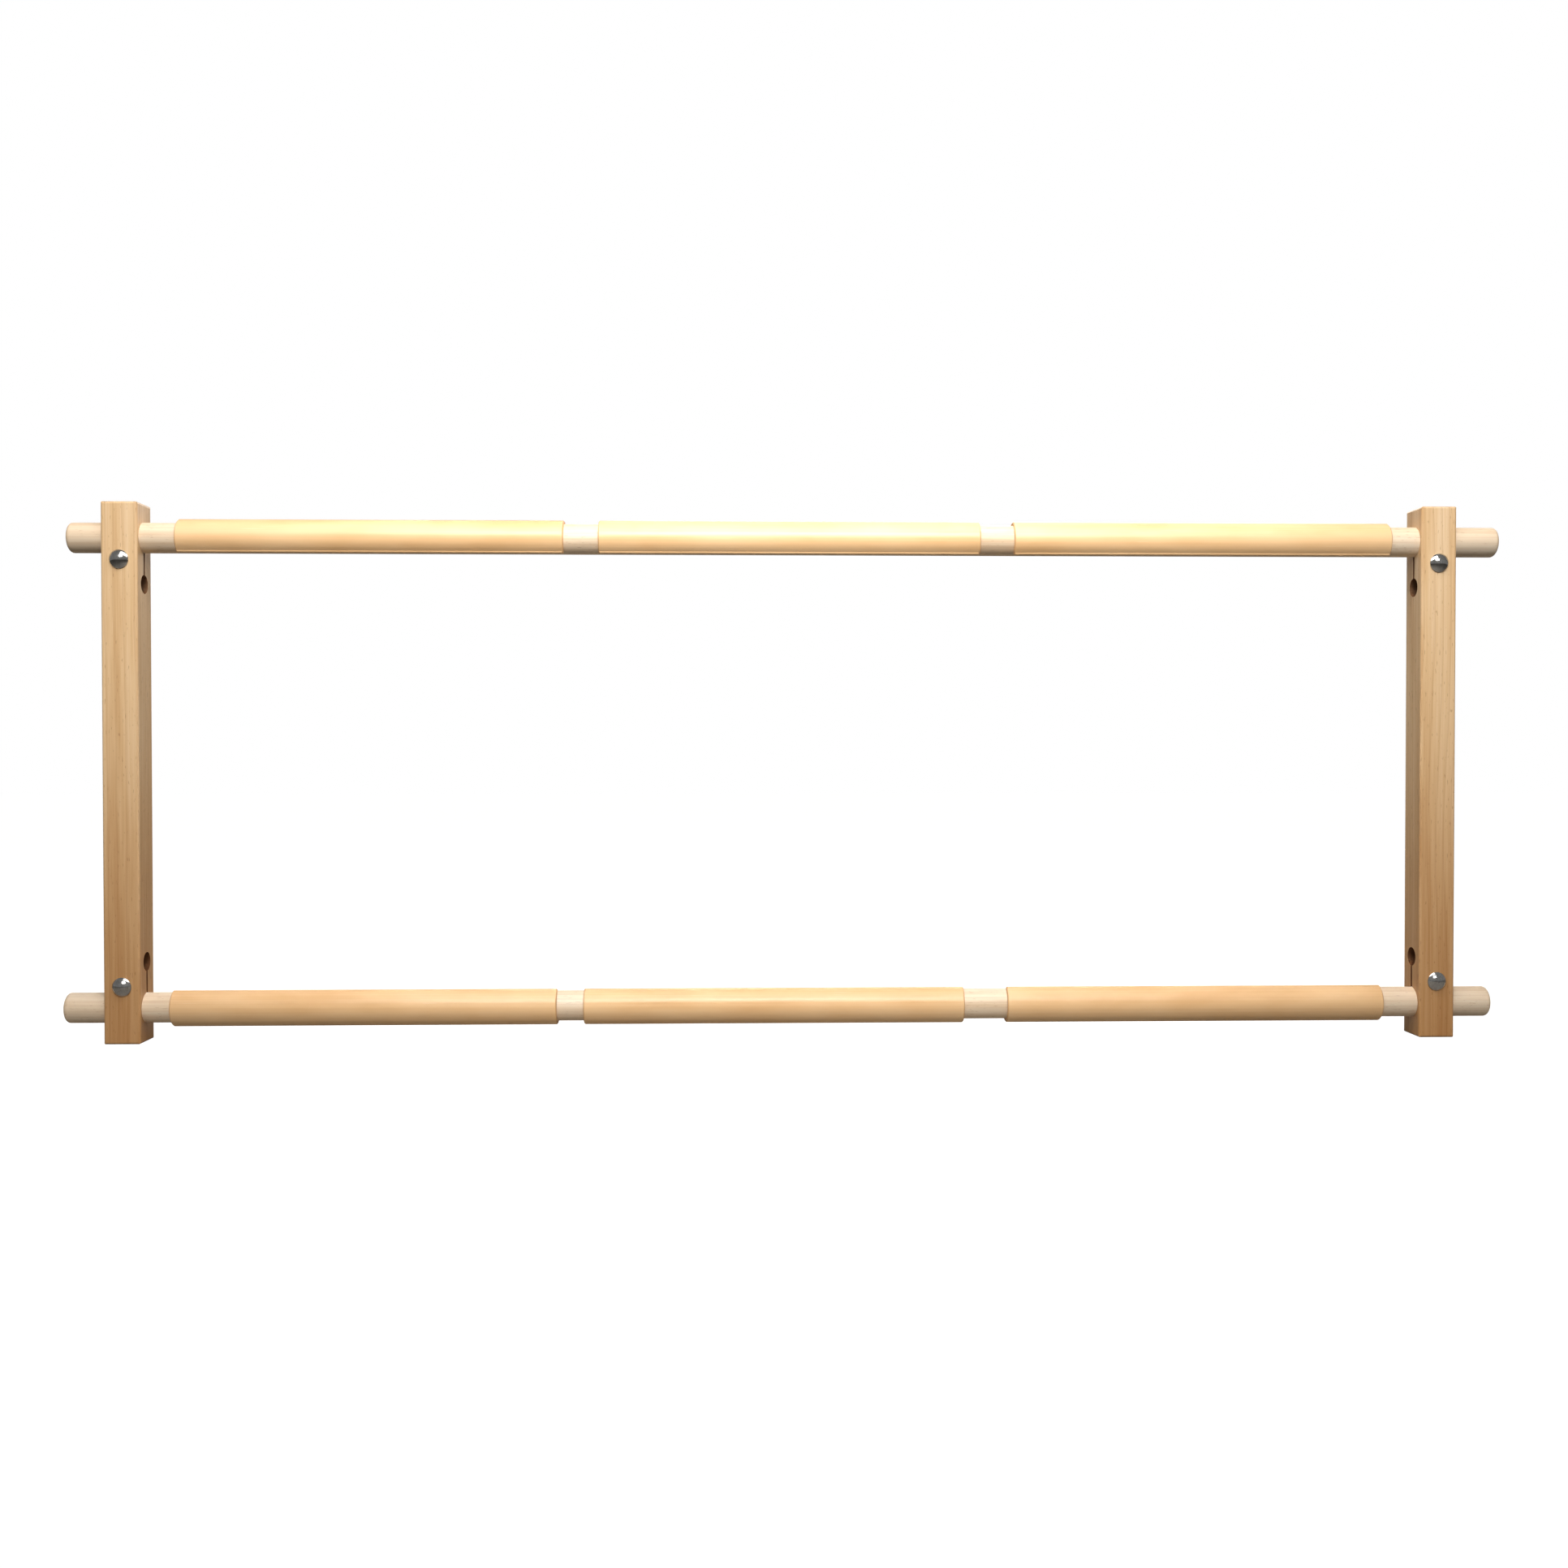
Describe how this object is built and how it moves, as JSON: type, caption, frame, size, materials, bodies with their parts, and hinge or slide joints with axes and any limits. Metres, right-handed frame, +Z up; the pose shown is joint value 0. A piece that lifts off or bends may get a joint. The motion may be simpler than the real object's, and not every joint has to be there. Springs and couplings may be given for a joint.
{
  "type": "cross-stitch frame",
  "caption": "Scroll frame for needlework: round rollers clamped in slit side arms by bolts and wing nuts, with split-tube clips that hold the fabric.",
  "frame": {"origin": "on the floor under the middle of the whole frame, with the side arms standing on their bottom ends", "axes": "+Z up along the side arms, +X along the rollers to the right as seen from the front, +Y from the front (bolt heads) to the back (wing nuts)"},
  "size_m": [0.765, 0.0364, 0.285],
  "materials": {
    "arm_wood": "varnished pale hardwood",
    "roller_wood": "smooth sanded pale hardwood",
    "clip_plastic": "smooth moulded tan plastic",
    "bright_metal": "bright nickel plate",
    "plain_metal": "zinc-plated steel"
  },
  "bodies": {
    "left_arm": {"side_arm_left": "arm_wood", "clamp_bolt_top_left": "bright_metal", "clamp_bolt_bottom_left": "bright_metal"},
    "right_arm": {"side_arm_right": "arm_wood", "clamp_bolt_top_right": "bright_metal", "clamp_bolt_bottom_right": "bright_metal"},
    "top_roller": {"roller_top": "roller_wood"},
    "bottom_roller": {"roller_bottom": "roller_wood"},
    "top_left_clip": {"clip_top_left": "clip_plastic"},
    "top_middle_clip": {"clip_top_middle": "clip_plastic"},
    "top_right_clip": {"clip_top_right": "clip_plastic"},
    "bottom_left_clip": {"clip_bottom_left": "clip_plastic"},
    "bottom_middle_clip": {"clip_bottom_middle": "clip_plastic"},
    "bottom_right_clip": {"clip_bottom_right": "clip_plastic"},
    "top_left_washer": {"washer_top_left": "plain_metal"},
    "top_left_wing_nut": {"wing_nut_top_left": "bright_metal"},
    "top_right_washer": {"washer_top_right": "plain_metal"},
    "top_right_wing_nut": {"wing_nut_top_right": "bright_metal"},
    "bottom_left_washer": {"washer_bottom_left": "plain_metal"},
    "bottom_left_wing_nut": {"wing_nut_bottom_left": "bright_metal"},
    "bottom_right_washer": {"washer_bottom_right": "plain_metal"},
    "bottom_right_wing_nut": {"wing_nut_bottom_right": "bright_metal"}
  },
  "joints": [
    {"name": "top_roller_turn", "type": "hinge", "parent": "left_arm", "child": "top_roller", "pos_m": [0, -0.0054, 0.267], "axis": [1, 0, 0], "continuous": true},
    {"name": "bottom_roller_turn", "type": "hinge", "parent": "left_arm", "child": "bottom_roller", "pos_m": [0, -0.0054, 0.018], "axis": [1, 0, 0], "continuous": true},
    {"name": "right_arm_slide", "type": "slide", "parent": "left_arm", "child": "right_arm", "axis": [1, 0, 0], "range_m": [-0.0152, 0.021]},
    {"name": "top_left_clip_slide", "type": "slide", "parent": "top_roller", "child": "top_left_clip", "axis": [1, 0, 0], "range_m": [-0.0185, 0.0181]},
    {"name": "top_middle_clip_slide", "type": "slide", "parent": "top_roller", "child": "top_middle_clip", "axis": [1, 0, 0], "range_m": [-0.0181, 0.0178]},
    {"name": "top_right_clip_slide", "type": "slide", "parent": "top_roller", "child": "top_right_clip", "axis": [1, 0, 0], "range_m": [-0.0178, 0.0152]},
    {"name": "bottom_left_clip_slide", "type": "slide", "parent": "bottom_roller", "child": "bottom_left_clip", "axis": [1, 0, 0], "range_m": [-0.0144, 0.0139]},
    {"name": "bottom_middle_clip_slide", "type": "slide", "parent": "bottom_roller", "child": "bottom_middle_clip", "axis": [1, 0, 0], "range_m": [-0.0139, 0.0228]},
    {"name": "bottom_right_clip_slide", "type": "slide", "parent": "bottom_roller", "child": "bottom_right_clip", "axis": [1, 0, 0], "range_m": [-0.0228, 0.0185]},
    {"name": "top_left_washer_travel", "type": "slide", "parent": "left_arm", "child": "top_left_washer", "axis": [0, 1, 0], "range_m": [0, 0.0024]},
    {"name": "top_left_wing_nut_turn", "type": "hinge", "parent": "top_left_washer", "child": "top_left_wing_nut", "pos_m": [-0.3506, 0.0046, 0.2547], "axis": [0, 1, 0], "range_deg": [0, 1080]},
    {"name": "top_right_washer_travel", "type": "slide", "parent": "right_arm", "child": "top_right_washer", "axis": [0, 1, 0], "range_m": [0, 0.0024]},
    {"name": "top_right_wing_nut_turn", "type": "hinge", "parent": "top_right_washer", "child": "top_right_wing_nut", "pos_m": [0.3484, 0.0046, 0.2547], "axis": [0, 1, 0], "range_deg": [0, 1080]},
    {"name": "bottom_left_washer_travel", "type": "slide", "parent": "left_arm", "child": "bottom_left_washer", "axis": [0, 1, 0], "range_m": [0, 0.0024]},
    {"name": "bottom_left_wing_nut_turn", "type": "hinge", "parent": "bottom_left_washer", "child": "bottom_left_wing_nut", "pos_m": [-0.3506, 0.0046, 0.0303], "axis": [0, 1, 0], "range_deg": [0, 1080]},
    {"name": "bottom_right_washer_travel", "type": "slide", "parent": "right_arm", "child": "bottom_right_washer", "axis": [0, 1, 0], "range_m": [0, 0.0024]},
    {"name": "bottom_right_wing_nut_turn", "type": "hinge", "parent": "bottom_right_washer", "child": "bottom_right_wing_nut", "pos_m": [0.3484, 0.0046, 0.0303], "axis": [0, 1, 0], "range_deg": [0, 1080]}
  ],
  "couplings": [
    {"joint": "top_left_washer_travel", "follows": "top_left_wing_nut_turn", "m_per_rad": 0.00012732},
    {"joint": "top_right_washer_travel", "follows": "top_right_wing_nut_turn", "m_per_rad": 0.00012732},
    {"joint": "bottom_left_washer_travel", "follows": "bottom_left_wing_nut_turn", "m_per_rad": 0.00012732},
    {"joint": "bottom_right_washer_travel", "follows": "bottom_right_wing_nut_turn", "m_per_rad": 0.00012732}
  ]
}
